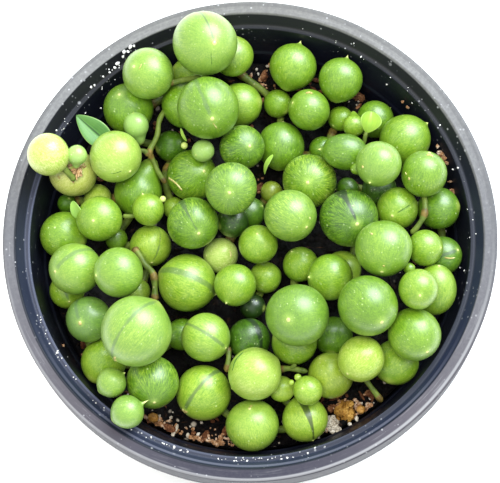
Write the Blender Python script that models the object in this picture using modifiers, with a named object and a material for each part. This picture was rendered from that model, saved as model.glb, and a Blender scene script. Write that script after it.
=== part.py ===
"""Potted string of pearls: a round nursery pot, its potting mix and seven creeping strands.

Millimetres, +Z up. The origin is the centre of the foot that the pot stands on.
Every small ground pearl is strung on the stem that creeps under it. The larger pearls
above them are pieces of their own, and each one rests where it would come to lie.
"""

import math

import bmesh
import bpy
from mathutils import Vector

MM = 0.001                  # metres per millimetre
GAP = 0.3                   # clearance between two pieces that touch

# Pot: a moulded shell with a flat lip, a hanging skirt and a foot ring.
RIM_RADIUS = 38.0
POT_HEIGHT = 67.0
LIP_INNER = 36.2            # inner edge of the flat lip
LEDGE_OUTER = 34.9          # foot of the slope below the lip
LEDGE_INNER = 34.0
LEDGE_DROP = 1.8            # lip to ledge
NECK_RADIUS = 32.6          # bottom of the neck, above the shoulder
NECK_DROP = 8.0
SHOULDER = 0.4
SKIRT_LENGTH = 7.0
WALL = 1.0
FLOOR_RADIUS = 24.6
FLOOR_TOP = 2.0
FLOOR_BOTTOM = 0.8
FOOT_OUTER = 25.8
FOOT_WIDTH = 2.0
DRAIN_HOLES = 6
DRAIN_DIAMETER = 3.6
DRAIN_CIRCLE = 17.0
POT_STEPS = 48

# Potting mix: fills the pot to this depth below the lip.
MIX_DEPTH = 10.0
MIX_EDGE = 0.6              # how far the rim of the mix is rounded

# Plant.
STEM_DIAMETER = 1.2
PETIOLE_DIAMETER = 0.9
STEM_SPACING = 2.6          # distance between two points along a stem
DROP_START = 20.0           # above the lip
DROP_STEP = 0.1
PEARL_SEGMENTS = 12
PEARL_RINGS = 6
STRUNG_TURN = (0.2, 0.1, 0.3)   # keeps a strung pearl's faces off the stem's, in radians

MIX_TOP = POT_HEIGHT - MIX_DEPTH
STEM_HEIGHT = MIX_TOP + GAP + STEM_DIAMETER / 2

# Each strand lists its pearls as (x, y, diameter) in the order the stem meets them.
# A bare (x, y) is a point that the stem passes on its way.
STRANDS = {
    "stem_north_west": [(-9.5, 28, 6), (-19, 21.5, 8), (-17.5, 18, 4), (-12.5, 16.5, 5),
                        (-13.5, 11.5), (-12, 6.5, 3.5)],
    "stem_north": [(20, 20.5, 6), (14.5, 21, 4), (11.5, 16, 4), (5, 16, 7.5), (4.5, 23.5, 4.5),
                   (-2.5, 30, 6.5)],
    "stem_west": [(-17.5, -7, 4), (-15.5, 0, 6.5), (-21, 1.5, 3.5), (-17.5, 8.5, 7.5),
                  (-24, 8, 4.5), (-29, 7.5, 3), (-29, 1.5, 7.5)],
    "stem_south_west": [(-28.5, -7, 5.5), (-26, -13), (-22.5, -18.5, 7), (-16.5, -17.5),
                        (-10.5, -14, 5)],
    "stem_centre": [(3.5, 9, 3.5), (0, 5.5, 5), (-2.5, 2.5), (-4.5, -1.5, 5.5), (-1, -5.5),
                    (2.5, -5, 5), (0.5, -9.5, 4), (0, -15, 6.5)],
    "stem_east": [(13, -14.5, 6), (7.5, -8.5, 4.5), (8, -3, 5.5), (14.5, -4, 6), (17, 3),
                  (15.5, 9.5, 3.5), (20.5, 9, 5.5), (29.5, 5, 6.5), (30, -2.5, 6)],
    "stem_south": [(-7, -23.5, 8.5), (0.5, -28.5, 8), (8.5, -27.5, 7), (5, -23, 4),
                   (12.5, -21, 7), (22.5, -19, 7)],
}

# The pearls above them as (x, y, diameter), from the lowest to the highest.
PEARLS = [
    # North side, against the wall.
    (-10, 22, 7.5), (7, 28.5, 7.5), (14.5, 26, 7), (-1.5, 23, 7), (9.5, 21, 6.5),
    (24.5, 16, 8), (16.5, 18.5, 3.5),
    # Middle, low.
    (-2.5, 3, 5), (-9, 11, 8), (-1, 14.5, 7), (9.5, 9.5, 8.5), (23, 4.5, 6.5), (-9.5, -6.5, 9),
    (12.5, -6.5, 7), (1.5, -1, 6), (-15.5, 4.5, 5), (-8.5, 2, 8), (15.5, 2.5, 9), (15, 13, 6),
    # West side, against the wall.
    (-27.5, 11, 7.5), (-23, 3, 7), (-24.5, -12.5, 7), (-26.5, -5, 8),
    # South side.
    (-14.5, -22.5, 8), (-6.5, -15.5, 7.5), (7, -16, 7), (-20.5, -23, 4.5), (-18, -27.5, 5),
    (9, -24, 4.5), (17, -19.5, 7), (1, -21.5, 8),
    # East side.
    (28.5, -8.5, 7), (27, -2.5, 5.5), (25, -16, 8), (25.5, -10, 6), (27, 9, 7),
    # The top of the heap.
    (18, -12.5, 9), (20.5, -3.5, 8.5), (20, 10, 7), (-2, -7.5, 6.5), (-2.5, 6.5, 8),
    (6.5, 2.5, 8), (-7, 13.5, 3.5), (-6.5, 29.5, 10), (-6, 19, 9.5), (-15.5, 25.5, 8),
    (-20.5, 12.5, 8), (-30.5, 12, 6.5), (7.5, -13.5, 9.5), (-16.5, -16, 10.5), (-19.5, -6.5, 7.5),
]


# ---- Scene, materials and shared shapes ----

def clear_scene():
    for item in list(bpy.data.objects):
        bpy.data.objects.remove(item, do_unlink=True)


def new_collection(name):
    collection = bpy.data.collections.new(name)
    bpy.context.scene.collection.children.link(collection)
    return collection


def new_material(name, color, roughness):
    material = bpy.data.materials.new(name)
    material.use_nodes = True
    shader = material.node_tree.nodes["Principled BSDF"]
    shader.inputs["Base Color"].default_value = (*color, 1.0)
    shader.inputs["Roughness"].default_value = roughness
    shader.inputs["Metallic"].default_value = 0.0
    return material


def add_object(name, data, material, collection):
    item = bpy.data.objects.new(name, data)
    data.materials.append(material)
    collection.objects.link(item)
    return item


def turned(name, profile, steps, material, collection):
    """Turns a profile, listed down its outer side, about the Z axis into a closed solid."""
    mesh = bpy.data.meshes.new(name)
    points = [(radius * MM, 0.0, height * MM) for radius, height in profile]
    mesh.from_pydata(points, [(i, i + 1) for i in range(len(points) - 1)], [])
    item = add_object(name, mesh, material, collection)
    screw = item.modifiers.new("Turn", "SCREW")
    screw.steps = steps
    screw.render_steps = steps
    screw.use_merge_vertices = True
    screw.merge_threshold = 0.00001
    return item


def ball(name, centre, diameter, material, collection):
    """A pearl: a sphere about its centre."""
    mesh = bpy.data.meshes.new(name)
    shape = bmesh.new()
    bmesh.ops.create_uvsphere(shape, u_segments=PEARL_SEGMENTS, v_segments=PEARL_RINGS,
                              radius=diameter / 2 * MM)
    shape.to_mesh(mesh)
    shape.free()
    mesh.shade_smooth()
    item = add_object(name, mesh, material, collection)
    item.location = Vector(centre) * MM
    return item


def rod(name, centre, diameter, length, sides, material, collection):
    """An upright cylinder about its centre."""
    mesh = bpy.data.meshes.new(name)
    shape = bmesh.new()
    bmesh.ops.create_cone(shape, cap_ends=True, segments=sides, radius1=diameter / 2 * MM,
                          radius2=diameter / 2 * MM, depth=length * MM)
    shape.to_mesh(mesh)
    shape.free()
    item = add_object(name, mesh, material, collection)
    item.location = Vector(centre) * MM
    return item


def combine(item, tool, operation):
    """Cuts the tool from a piece, or joins it to the piece."""
    tool.hide_render = True
    tool.display_type = "WIRE"
    boolean = item.modifiers.new(tool.name, "BOOLEAN")
    boolean.operation = operation
    boolean.object = tool
    boolean.solver = "EXACT"


# ---- Pot ----

def inner_wall():
    """The pot's inside from the top of the mix up to the lip, as (radius, height)."""
    shoulder = POT_HEIGHT - NECK_DROP
    return [
        (NECK_RADIUS - SHOULDER, shoulder - SHOULDER),
        (NECK_RADIUS, shoulder),
        (LEDGE_INNER, POT_HEIGHT - LEDGE_DROP),
        (LEDGE_OUTER, POT_HEIGHT - LEDGE_DROP),
        (LIP_INNER, POT_HEIGHT),
        (RIM_RADIUS - 0.3, POT_HEIGHT),
    ]


def make_pot(material, collection, tools):
    skirt_inner = RIM_RADIUS - WALL
    skirt_bottom = POT_HEIGHT - SKIRT_LENGTH
    below_ledge = POT_HEIGHT - LEDGE_DROP - WALL
    shoulder = POT_HEIGHT - NECK_DROP
    outside = [
        (RIM_RADIUS, POT_HEIGHT - 0.3),
        (RIM_RADIUS, skirt_bottom),
        (skirt_inner, skirt_bottom),
        (skirt_inner, POT_HEIGHT - WALL),
        (LIP_INNER + 0.4, POT_HEIGHT - WALL),
        (LEDGE_OUTER + 0.3, below_ledge),
        (LEDGE_INNER + 0.95, below_ledge),
        (NECK_RADIUS + WALL, shoulder - 0.3),
        (NECK_RADIUS - SHOULDER + WALL, shoulder - SHOULDER - 0.3),
        (FOOT_OUTER, 0.6),
        (FOOT_OUTER - 0.3, 0.0),
        (FOOT_OUTER - FOOT_WIDTH, 0.0),
        (FOOT_OUTER - FOOT_WIDTH - 0.2, FLOOR_BOTTOM),
        (0.0, FLOOR_BOTTOM),
    ]
    inside = [(0.0, FLOOR_TOP), (FLOOR_RADIUS, FLOOR_TOP)] + inner_wall()
    pot = turned("pot", inside + outside, POT_STEPS, material, collection)
    for number in range(DRAIN_HOLES):
        angle = (number + 0.5) / DRAIN_HOLES * math.tau
        centre = (DRAIN_CIRCLE * math.cos(angle), DRAIN_CIRCLE * math.sin(angle), 1.4)
        hole = rod(f"drain_hole_{number + 1}", centre, DRAIN_DIAMETER, 4.0, 16, material, tools)
        combine(pot, hole, "DIFFERENCE")


def make_mix(material, collection):
    """The mix keeps its clearance to the floor and follows the wall's taper."""
    top_radius = NECK_RADIUS - SHOULDER
    top_height = POT_HEIGHT - NECK_DROP - SHOULDER
    taper = (top_radius - FLOOR_RADIUS) / (top_height - FLOOR_TOP)

    def edge(height):
        return FLOOR_RADIUS + (height - FLOOR_TOP) * taper - 1.2 * GAP

    low = FLOOR_TOP + GAP
    high = MIX_TOP - MIX_EDGE
    profile = [(0.0, MIX_TOP), (edge(high) - MIX_EDGE, MIX_TOP), (edge(high), high),
               (edge(low), low), (0.0, low)]
    turned("potting_mix", profile, POT_STEPS, material, collection)


# ---- Where each pearl comes to rest ----

def distance_to_wall(radius, height):
    """The shortest way from a point inside the pot to its inner wall."""
    point = Vector((radius, height))
    wall = [Vector(corner) for corner in inner_wall()]
    best = math.inf
    for start, end in zip(wall, wall[1:]):
        along = end - start
        share = (point - start).dot(along) / along.length_squared
        nearest = start + along * min(max(share, 0.0), 1.0)
        best = min(best, (point - nearest).length)
    return best


def is_clear(centre, radius, resting):
    if centre.z - radius < MIX_TOP + GAP:
        return False
    if distance_to_wall(math.hypot(centre.x, centre.y), centre.z) < radius + GAP:
        return False
    for other, other_radius in resting:
        if (centre - other).length < radius + other_radius + GAP:
            return False
    return True


def drop(pearl, resting):
    """Lowers a pearl until one more step would touch something, and adds it to the heap."""
    x, y, diameter = pearl
    centre = Vector((x, y, POT_HEIGHT + DROP_START))
    step = Vector((0.0, 0.0, DROP_STEP))
    while is_clear(centre - step, diameter / 2, resting):
        centre -= step
    resting.append((centre, diameter / 2))
    return centre


# ---- Stems ----

def smooth_route(points):
    """Points at even steps along a Catmull-Rom curve through the given ones."""
    ends = [points[0] * 2 - points[1]] + points + [points[-1] * 2 - points[-2]]
    route = [points[0]]
    for a, b, c, d in zip(ends, ends[1:], ends[2:], ends[3:]):
        steps = max(2, round((c - b).length / STEM_SPACING))
        for number in range(1, steps + 1):
            t = number / steps
            route.append(0.5 * (2 * b + (c - a) * t + (2 * a - 5 * b + 4 * c - d) * t ** 2
                                + (3 * b - a - 3 * c + d) * t ** 3))
    return route


def make_stem(name, route, material, collection):
    """A round stem along the route, as a closed mesh."""
    curve = bpy.data.curves.new(name, "CURVE")
    curve.dimensions = "3D"
    curve.bevel_depth = STEM_DIAMETER / 2 * MM
    curve.bevel_resolution = 2
    curve.use_fill_caps = True
    spline = curve.splines.new("POLY")
    spline.points.add(len(route) - 1)
    for point, place in zip(spline.points, route):
        point.co = (*(place * MM), 1.0)
    guide = add_object(name + "_route", curve, material, collection)
    bpy.context.view_layer.update()
    evaluated = guide.evaluated_get(bpy.context.evaluated_depsgraph_get())
    mesh = bpy.data.meshes.new_from_object(evaluated)
    bpy.data.objects.remove(guide, do_unlink=True)
    shape = bmesh.new()
    shape.from_mesh(mesh)
    bmesh.ops.remove_doubles(shape, verts=shape.verts, dist=0.00001)
    shape.to_mesh(mesh)
    shape.free()
    mesh.materials.clear()
    return add_object(name, mesh, material, collection)


def make_strand(name, stops, resting, material, collection, tools):
    """A stem on the mix, with a pearl at each stop that names a diameter."""
    places = [Vector((stop[0], stop[1], STEM_HEIGHT)) for stop in stops]
    stem = make_stem(name, smooth_route(places), material, collection)
    strung = [stop for stop in stops if len(stop) == 3]
    for number, pearl in enumerate(strung, start=1):
        centre = resting[pearl]
        item = ball(f"{name}_pearl_{number}", centre, pearl[2], material, tools)
        item.rotation_euler = STRUNG_TURN
        combine(stem, item, "UNION")
        rise = centre.z - STEM_HEIGHT
        if rise > pearl[2] / 2:
            middle = (centre.x, centre.y, STEM_HEIGHT + rise / 2)
            petiole = rod(f"{name}_petiole_{number}", middle, PETIOLE_DIAMETER, rise, 8,
                          material, tools)
            combine(stem, petiole, "UNION")


# ---- Assembly ----

def main():
    clear_scene()
    parts = new_collection("potted_string_of_pearls")
    tools = new_collection("cutters")
    plastic = new_material("pot_plastic", (0.020, 0.020, 0.026), 0.35)
    soil = new_material("potting_mix", (0.040, 0.025, 0.016), 0.95)
    stem_skin = new_material("stem_skin", (0.30, 0.36, 0.12), 0.55)
    pearl_skin = new_material("pearl_skin", (0.22, 0.42, 0.06), 0.38)

    make_pot(plastic, parts, tools)
    make_mix(soil, parts)

    heap = []
    strung = [stop for stops in STRANDS.values() for stop in stops if len(stop) == 3]
    rests = {pearl: drop(pearl, heap) for pearl in strung}
    for name, stops in STRANDS.items():
        make_strand(name, stops, rests, stem_skin, parts, tools)
    for number, pearl in enumerate(PEARLS, start=1):
        ball(f"pearl_{number:02d}", drop(pearl, heap), pearl[2], pearl_skin, parts)


main()
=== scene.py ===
import math

import bpy
import numpy as np
from mathutils import Matrix, Vector


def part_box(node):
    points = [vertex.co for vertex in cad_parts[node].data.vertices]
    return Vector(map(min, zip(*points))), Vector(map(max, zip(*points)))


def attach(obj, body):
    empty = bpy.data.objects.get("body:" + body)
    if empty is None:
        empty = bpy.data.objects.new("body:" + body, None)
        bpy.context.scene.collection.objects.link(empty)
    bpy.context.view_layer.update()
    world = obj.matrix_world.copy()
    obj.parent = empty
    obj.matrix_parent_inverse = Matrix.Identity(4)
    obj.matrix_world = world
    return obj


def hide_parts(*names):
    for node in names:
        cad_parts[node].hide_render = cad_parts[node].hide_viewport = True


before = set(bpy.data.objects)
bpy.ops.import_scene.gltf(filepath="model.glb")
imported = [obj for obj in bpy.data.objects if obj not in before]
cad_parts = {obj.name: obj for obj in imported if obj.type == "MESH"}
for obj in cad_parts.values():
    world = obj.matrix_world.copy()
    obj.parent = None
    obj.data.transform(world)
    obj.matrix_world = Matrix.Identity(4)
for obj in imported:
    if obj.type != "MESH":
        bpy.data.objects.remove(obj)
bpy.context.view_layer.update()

MM = 0.001


# ---- Where it stands ----
# A pale floor under the pot, a bright even sky, a wide soft light overhead, and a smaller
# cool one beyond the far side, so that every pearl carries a pale sheen on its far half.

FLOOR_SIZE = 3000 * MM
SKY_STRENGTH = 0.80
FAR_LIGHT = ((310, 390, 590), 640, 8.6, (0.86, 0.96, 1.0))      # place, size, watts, tint
HIGH_LIGHT = ((-60, -60, 900), 420, 8.4, (1.0, 1.0, 0.96))
VIEW_RISE = math.radians(76.0)
VIEW_TURN = math.radians(6.5)
VIEW_DISTANCE = 300 * MM
AIM_RIGHT, AIM_BACK = 0.3, -1.0
LENS = 141.0

RIM_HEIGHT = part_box("pot")[1].z / MM

VIEWER = Vector((math.sin(VIEW_TURN) * math.cos(VIEW_RISE),
                 -math.cos(VIEW_TURN) * math.cos(VIEW_RISE), math.sin(VIEW_RISE)))
VIEW_UP = (Vector((0, 1, 0)) - VIEWER * VIEWER.y).normalized()
VIEW_RIGHT = VIEW_UP.cross(VIEWER)

scene = bpy.context.scene
scene.view_settings.view_transform = "Standard"


def look_from(item, place, right, up, back):
    """Puts a camera or light at a place, with its own three axes given as columns."""
    turn = Matrix((right, up, back)).transposed().to_4x4()
    item.matrix_world = Matrix.Translation(place) @ turn


camera = bpy.data.objects.new("camera", bpy.data.cameras.new("camera"))
camera.data.lens = LENS
camera.data.clip_start = 10 * MM
scene.collection.objects.link(camera)
aim = Vector((AIM_RIGHT, AIM_BACK, RIM_HEIGHT)) * MM
look_from(camera, aim + VIEWER * VIEW_DISTANCE, VIEW_RIGHT, VIEW_UP, VIEWER)
scene.camera = camera

sky = bpy.data.worlds.new("even_sky")
sky.use_nodes = True
sky.node_tree.nodes["Background"].inputs["Color"].default_value = (0.97, 0.99, 1.0, 1.0)
sky.node_tree.nodes["Background"].inputs["Strength"].default_value = SKY_STRENGTH
scene.world = sky

for name, (place, size, watts, tint_of_light) in {"far_light": FAR_LIGHT,
                                                  "high_light": HIGH_LIGHT}.items():
    lamp = bpy.data.objects.new(name, bpy.data.lights.new(name, "AREA"))
    lamp.data.shape = "DISK"
    lamp.data.size = size * MM
    lamp.data.energy = watts
    lamp.data.color = tint_of_light
    scene.collection.objects.link(lamp)
    back = (Vector(place) * MM - aim).normalized()
    right = Vector((1, 0, 0)).cross(back).cross(back).normalized() * -1
    look_from(lamp, Vector(place) * MM, right, back.cross(right), back)
    # Only the far light shows as a sheen; the one overhead stays a soft fill.
    lamp.visible_glossy = name == "far_light"


def tint(red, green, blue):
    """A colour given in the usual 0 to 255 steps, as the linear light a shader wants."""
    steps = np.array([red, green, blue]) / 255.0
    light = np.where(steps <= 0.04045, steps / 12.92, ((steps + 0.055) / 1.055) ** 2.4)
    return (*light.tolist(), 1.0)


def shader_node(kind, inputs, **settings):
    """Adds a shader node to the tree that its linked inputs are in, sets its options, and
    fills its inputs with values or links."""
    tree = next(value.id_data for value in inputs.values()
                if isinstance(value, bpy.types.NodeSocket))
    item = tree.nodes.new(kind)
    for option, value in settings.items():
        setattr(item, option, value)
    for name, value in inputs.items():
        if isinstance(value, bpy.types.NodeSocket):
            tree.links.new(value, item.inputs[name])
        else:
            item.inputs[name].default_value = value
    return item


def noise(place, scale, detail=3.0, roughness=0.55):
    """Cloudy noise from 0 to 1 over a vector."""
    return shader_node("ShaderNodeTexNoise", {"Vector": place, "Scale": scale, "Detail": detail,
                                              "Roughness": roughness}).outputs["Fac"]


def calc(operation, first, second=0.0, third=0.0):
    """One step of arithmetic on values."""
    return shader_node("ShaderNodeMath", {0: first, 1: second, 2: third},
                       operation=operation).outputs[0]


def times(first, second):
    """Two values multiplied."""
    return calc("MULTIPLY", first, second)


def plus(first, second):
    """Two values added."""
    return calc("ADD", first, second)


def scaled(value, factor, start):
    """A value times a factor, from a start."""
    return calc("MULTIPLY_ADD", value, factor, start)


def rise(value, low, high):
    """0 below low and 1 above high, with a smooth climb; low above high turns it round."""
    return shader_node("ShaderNodeMapRange", {"Value": value, "From Min": low, "From Max": high},
                       interpolation_type="SMOOTHSTEP").outputs["Result"]


def blended(share, first, second):
    """Two colours mixed by a share from 0 to 1."""
    return shader_node("ShaderNodeMix", {0: share, 6: first, 7: second},
                       data_type="RGBA").outputs[2]


def toned(value, stops):
    """A colour read off a row of stops by a value from 0 to 1."""
    ramp = shader_node("ShaderNodeValToRGB", {"Fac": value})
    row = ramp.color_ramp.elements
    while len(row) < len(stops):
        row.new(0.5)
    for element, (place, colour) in zip(row, stops):
        element.position = place
        element.color = tint(*colour)
    return ramp.outputs["Color"]


def new_material(name):
    """A material, its shader, and where a point is in the object's own frame, in metres."""
    material = bpy.data.materials.new(name)
    material.use_nodes = True
    nodes = material.node_tree.nodes
    return (material, nodes["Principled BSDF"],
            nodes.new("ShaderNodeTexCoord").outputs["Object"])


floor_paint, shader, place = new_material("floor_paint")
colour = toned(noise(place, 9.0), [(0.3, (250, 250, 250)), (0.7, (254, 254, 254))])
colour.id_data.links.new(colour, shader.inputs["Base Color"])
shader.inputs["Roughness"].default_value = 0.9
floor_mesh = bpy.data.meshes.new("floor")
corner = FLOOR_SIZE / 2
floor_mesh.from_pydata([(-corner, -corner, 0), (corner, -corner, 0), (corner, corner, 0),
                        (-corner, corner, 0)], [], [(0, 1, 2, 3)])
floor_mesh.materials.append(floor_paint)
floor = bpy.data.objects.new("floor", floor_mesh)
scene.collection.objects.link(floor)


# ---- Pot ----
# A thin round nursery pot moulded in black plastic, with a flat lip, a hanging skirt,
# a step inside for stacking, and six drain holes. The lip is scuffed grey, with painted light
# over it: lighter towards the back, a painted highlight on its near outer edge and painted
# glare on the skirt. The step and ledge inside carry painted light on their near side.

LIP_OUTER = 38.0
LIP_INNER = 36.05
LEDGE_OUTER = 34.7
LEDGE_INNER = 34.0
LEDGE_HEIGHT = 65.2
POT_STEPS = 240
CORNER_CUT = 0.14
CUT_LIMIT = 0.4             # the most of a side that a rounded corner may take
RIM_SHIFT = np.array([0.18, 0.18])
DRAIN_HOLES = 6
DRAIN_RADIUS = 1.8
DRAIN_CIRCLE = 17.0
POT_PROFILE = [             # radius and height, from the floor inside, over the lip, to the foot
    (0.0, 2.0), (12.0, 2.0), (24.6, 2.0), (32.2, 58.6), (32.6, 59.0), (34.0, 65.2),
    (34.7, 65.2), (36.05, 67.0), (36.75, 66.94), (37.7, 67.0), (38.0, 66.7), (38.0, 61.6),
    (37.85, 61.4), (38.0, 61.2), (38.0, 60.0), (37.0, 60.0), (37.0, 66.0), (36.6, 66.0),
    (35.2, 64.2), (34.8, 64.2), (33.6, 58.7), (33.2, 58.3), (29.6, 29.6), (29.45, 29.2),
    (29.5, 28.8), (25.8, 0.6), (25.5, 0.0), (23.8, 0.0), (23.6, 0.8), (12.0, 0.8), (0.0, 0.8),
]


def eased(profile, cut):
    """Rounds every corner of a profile: the corner gives way to the curve that leaves one
    side a short way before it and joins the next side a short way after it."""
    line = np.array(profile, float)
    before, corner, after = line[:-2], line[1:-1], line[2:]
    reach_in = np.linalg.norm(before - corner, axis=1, keepdims=True)
    reach_out = np.linalg.norm(after - corner, axis=1, keepdims=True)
    start = corner + (before - corner) * np.minimum(cut / reach_in, CUT_LIMIT)
    end = corner + (after - corner) * np.minimum(cut / reach_out, CUT_LIMIT)
    share = np.linspace(0.0, 1.0, 4)[:, None, None]
    curve = (1 - share) ** 2 * start + 2 * share * (1 - share) * corner + share ** 2 * end
    curve = curve.transpose(1, 0, 2).reshape(-1, 2)
    return np.concatenate([line[:1], curve, line[-1:]])


def closed_skin(first, rings, last):
    """A closed surface: rings of equally many points, each joined to the next by quads,
    with the outer two drawn to a single point by triangles."""
    count, around = rings.shape[:2]
    points = np.concatenate([np.reshape(first, (1, 3)), rings.reshape(-1, 3),
                             np.reshape(last, (1, 3))])
    here = np.arange(around) + 1
    beside = np.roll(here, -1)
    step = (np.arange(count - 1) * around)[:, None]
    quads = np.stack([here + step, beside + step, beside + step + around,
                      here + step + around], axis=-1).reshape(-1, 4)
    end = len(points) - 1
    lift = (count - 1) * around
    fans = np.concatenate([
        np.stack([np.zeros_like(here), beside, here], axis=-1),
        np.stack([np.full_like(here, end), here + lift, beside + lift], axis=-1)])
    return {"points": points, "quads": quads, "fans": fans, "marks": {}}


def gathered(shapes):
    """Several surfaces as one, each keeping its own points."""
    starts = np.cumsum([0] + [len(shape["points"]) for shape in shapes])[:-1]
    whole = {"points": np.concatenate([shape["points"] for shape in shapes])}
    for faces in ("quads", "fans"):
        whole[faces] = np.concatenate([shape[faces] + n for shape, n in zip(shapes, starts)])
    whole["marks"] = {mark: np.concatenate([shape["marks"][mark] for shape in shapes])
                      for mark in shapes[0]["marks"]}
    return whole


def volume(shape):
    """The signed volume: a sixth of the sum, over every triangle, of its first corner's dot
    product with the cross product of the other two. Below zero, the faces point inwards."""
    corners = shape["points"]
    threes = np.concatenate([shape["quads"][:, :3], shape["quads"][:, [0, 2, 3]], shape["fans"]])
    a, b, c = (corners[threes[:, n]] for n in range(3))
    return float((a * np.cross(b, c)).sum()) / 6.0


def mesh_object(name, shape):
    """A mesh object of a surface given in millimetres, with its faces turned outwards."""
    if volume(shape) < 0:
        shape = dict(shape, quads=shape["quads"][:, ::-1], fans=shape["fans"][:, ::-1])
    mesh = bpy.data.meshes.new(name)
    mesh.from_pydata((shape["points"] * MM).tolist(), [],
                     shape["quads"].tolist() + shape["fans"].tolist())
    item = bpy.data.objects.new(name, mesh)
    scene.collection.objects.link(item)
    return item


def add_piece(name, shape, material, replaced=(), smooth=True):
    """Makes a surface given in millimetres a piece of the object, and lets it ride."""
    piece = mesh_object(name, shape)
    for mark, values in shape["marks"].items():
        layer = piece.data.attributes.new(mark, "FLOAT_VECTOR", "POINT")
        layer.data.foreach_set("vector", np.asarray(values, np.float32).ravel())
    piece.data.materials.append(material)
    if smooth:
        piece.data.shade_smooth()
    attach(piece, "root")
    if replaced:
        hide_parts(*replaced)
    return piece


def circled(radius, angle, height):
    """Points by their distance from the upright axis, their turn about it and their height."""
    return np.stack([radius * np.cos(angle), radius * np.sin(angle), height + 0 * angle], axis=-1)


def turned(profile, steps):
    """A profile turned about the upright axis: each radius goes round in a full circle."""
    profile = np.array(profile, float)
    angle = np.arange(steps) / steps * math.tau
    rings = circled(profile[1:-1, :1], angle, profile[1:-1, 1:])
    return closed_skin((0, 0, profile[0, 1]), rings, (0, 0, profile[-1, 1]))


def fine_specks_group():
    """The node group of small round specks."""
    group = bpy.data.node_groups.new("fine_specks", "ShaderNodeTree")
    group.interface.new_socket("Place", in_out="INPUT", socket_type="NodeSocketVector")
    for name in ("Scale", "Share", "Size"):
        group.interface.new_socket(name, in_out="INPUT", socket_type="NodeSocketFloat")
    group.interface.new_socket("Mask", in_out="OUTPUT", socket_type="NodeSocketFloat")
    entry = group.nodes.new("NodeGroupInput").outputs
    cells = shader_node("ShaderNodeTexVoronoi",
                        {"Vector": entry["Place"], "Scale": entry["Scale"]}).outputs
    draw = shader_node("ShaderNodeSeparateColor", {0: cells["Color"]}).outputs
    size = times(entry["Size"], plus(draw[1], 0.4))
    round_spot = rise(cells["Distance"], size, times(size, 0.4))
    mask = times(calc("LESS_THAN", draw[0], entry["Share"]), round_spot)
    group.links.new(mask, group.nodes.new("NodeGroupOutput").inputs["Mask"])
    return group


fine_specks = fine_specks_group()


def specks(place, scale, share, size):
    """Small round specks: each cell of a cell pattern that wins a draw shows its middle."""
    return shader_node("ShaderNodeGroup", {"Place": place, "Scale": scale, "Share": share,
                                           "Size": size}, node_tree=fine_specks).outputs["Mask"]


def parts(vector):
    """The three parts of a vector."""
    return shader_node("ShaderNodeSeparateXYZ", {0: vector}).outputs


def combined(x, y, z=0.0):
    """A vector of three parts."""
    return shader_node("ShaderNodeCombineXYZ", {0: x, 1: y, 2: z}).outputs[0]


def climb(value, low, high):
    """A smooth rise between two places given in millimetres."""
    return rise(value, low * MM, high * MM)


def dressed(shader, colour, roughness, height, relief, strength=1.0):
    """Gives a shader its colour, its roughness and a height map as deep as the relief."""
    bump = shader_node("ShaderNodeBump", {"Height": height, "Distance": relief,
                                          "Strength": strength})
    links = colour.id_data.links
    links.new(colour, shader.inputs["Base Color"])
    links.new(roughness, shader.inputs["Roughness"])
    links.new(bump.outputs["Normal"], shader.inputs["Normal"])


pot_plastic, shader, place = new_material("pot_plastic")
x, y, z = parts(place)
radius = calc("SQRT", plus(times(x, x), times(y, y)))
# Marks that run round the pot: fine across it, long along it.
drag = noise(combined(times(calc("DIVIDE", x, radius), 5.0), times(calc("DIVIDE", y, radius), 5.0),
                      times(plus(radius, z), 2600.0)), 1.0, 4.0, 0.7)
cloud = noise(place, 160.0, 5.0, 0.6)
grit = noise(place, 1900.0, 3.0, 0.7)
lip = times(climb(z, 60.0, 60.5), climb(radius, 35.95, 36.15))
skirt = times(lip, climb(z, 66.75, 66.5))
ledge = times(climb(z, 64.9, 65.15), climb(z, 65.5, 65.2))
slope = times(climb(z, 65.15, 65.3), climb(z, 67.1, 66.6))
# How far back and how far right, from 0 to 1 across the lip.
depth = scaled(y, 1 / (2 * LIP_OUTER * MM), 0.5)
breadth = scaled(x, 1 / (2 * LIP_OUTER * MM), 0.5)
body = toned(cloud, [(0.3, (9, 11, 20)), (0.7, (17, 19, 31))])
body = blended(times(rise(drag, 0.5, 0.8), 0.2), body, tint(52, 52, 66))
# The lip's scuffed grey is painted lighter towards the back and darker at the front: painted light.
scuffed_lip_and_painted_light = toned(depth, [(0.02, (46, 45, 58)), (0.14, (78, 74, 82)), (0.5, (100, 100, 105)),
                      (0.85, (120, 120, 121)), (1.0, (114, 113, 112))])
scuffed_lip_and_painted_light = blended(rise(grit, 0.35, 0.7), blended(0.3, scuffed_lip_and_painted_light, tint(66, 64, 72)), scuffed_lip_and_painted_light)
scuffed_lip_and_painted_light = blended(times(rise(drag, 0.52, 0.75), 0.4), scuffed_lip_and_painted_light,
                blended(0.35, scuffed_lip_and_painted_light, tint(190, 189, 194)))
scuffed_lip_and_painted_light = blended(times(climb(radius, 37.2, 37.4), 0.3), scuffed_lip_and_painted_light, tint(66, 66, 70))
# A painted highlight: a thin pale line along the near half of the lip's outer edge.
painted_rim_highlight = times(rise(depth, 0.6, 0.1),
                 times(climb(radius, 37.2, 37.45), climb(radius, 37.8, 37.65)))
scuffed_lip_and_painted_light = blended(times(painted_rim_highlight, 0.35), scuffed_lip_and_painted_light, tint(196, 196, 200))
# The skirt takes the lip's grey, darkened: painted glare over its black plastic.
scuffed_lip_and_painted_light = blended(skirt, scuffed_lip_and_painted_light, blended(0.7, scuffed_lip_and_painted_light, tint(98, 98, 104)))
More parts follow.
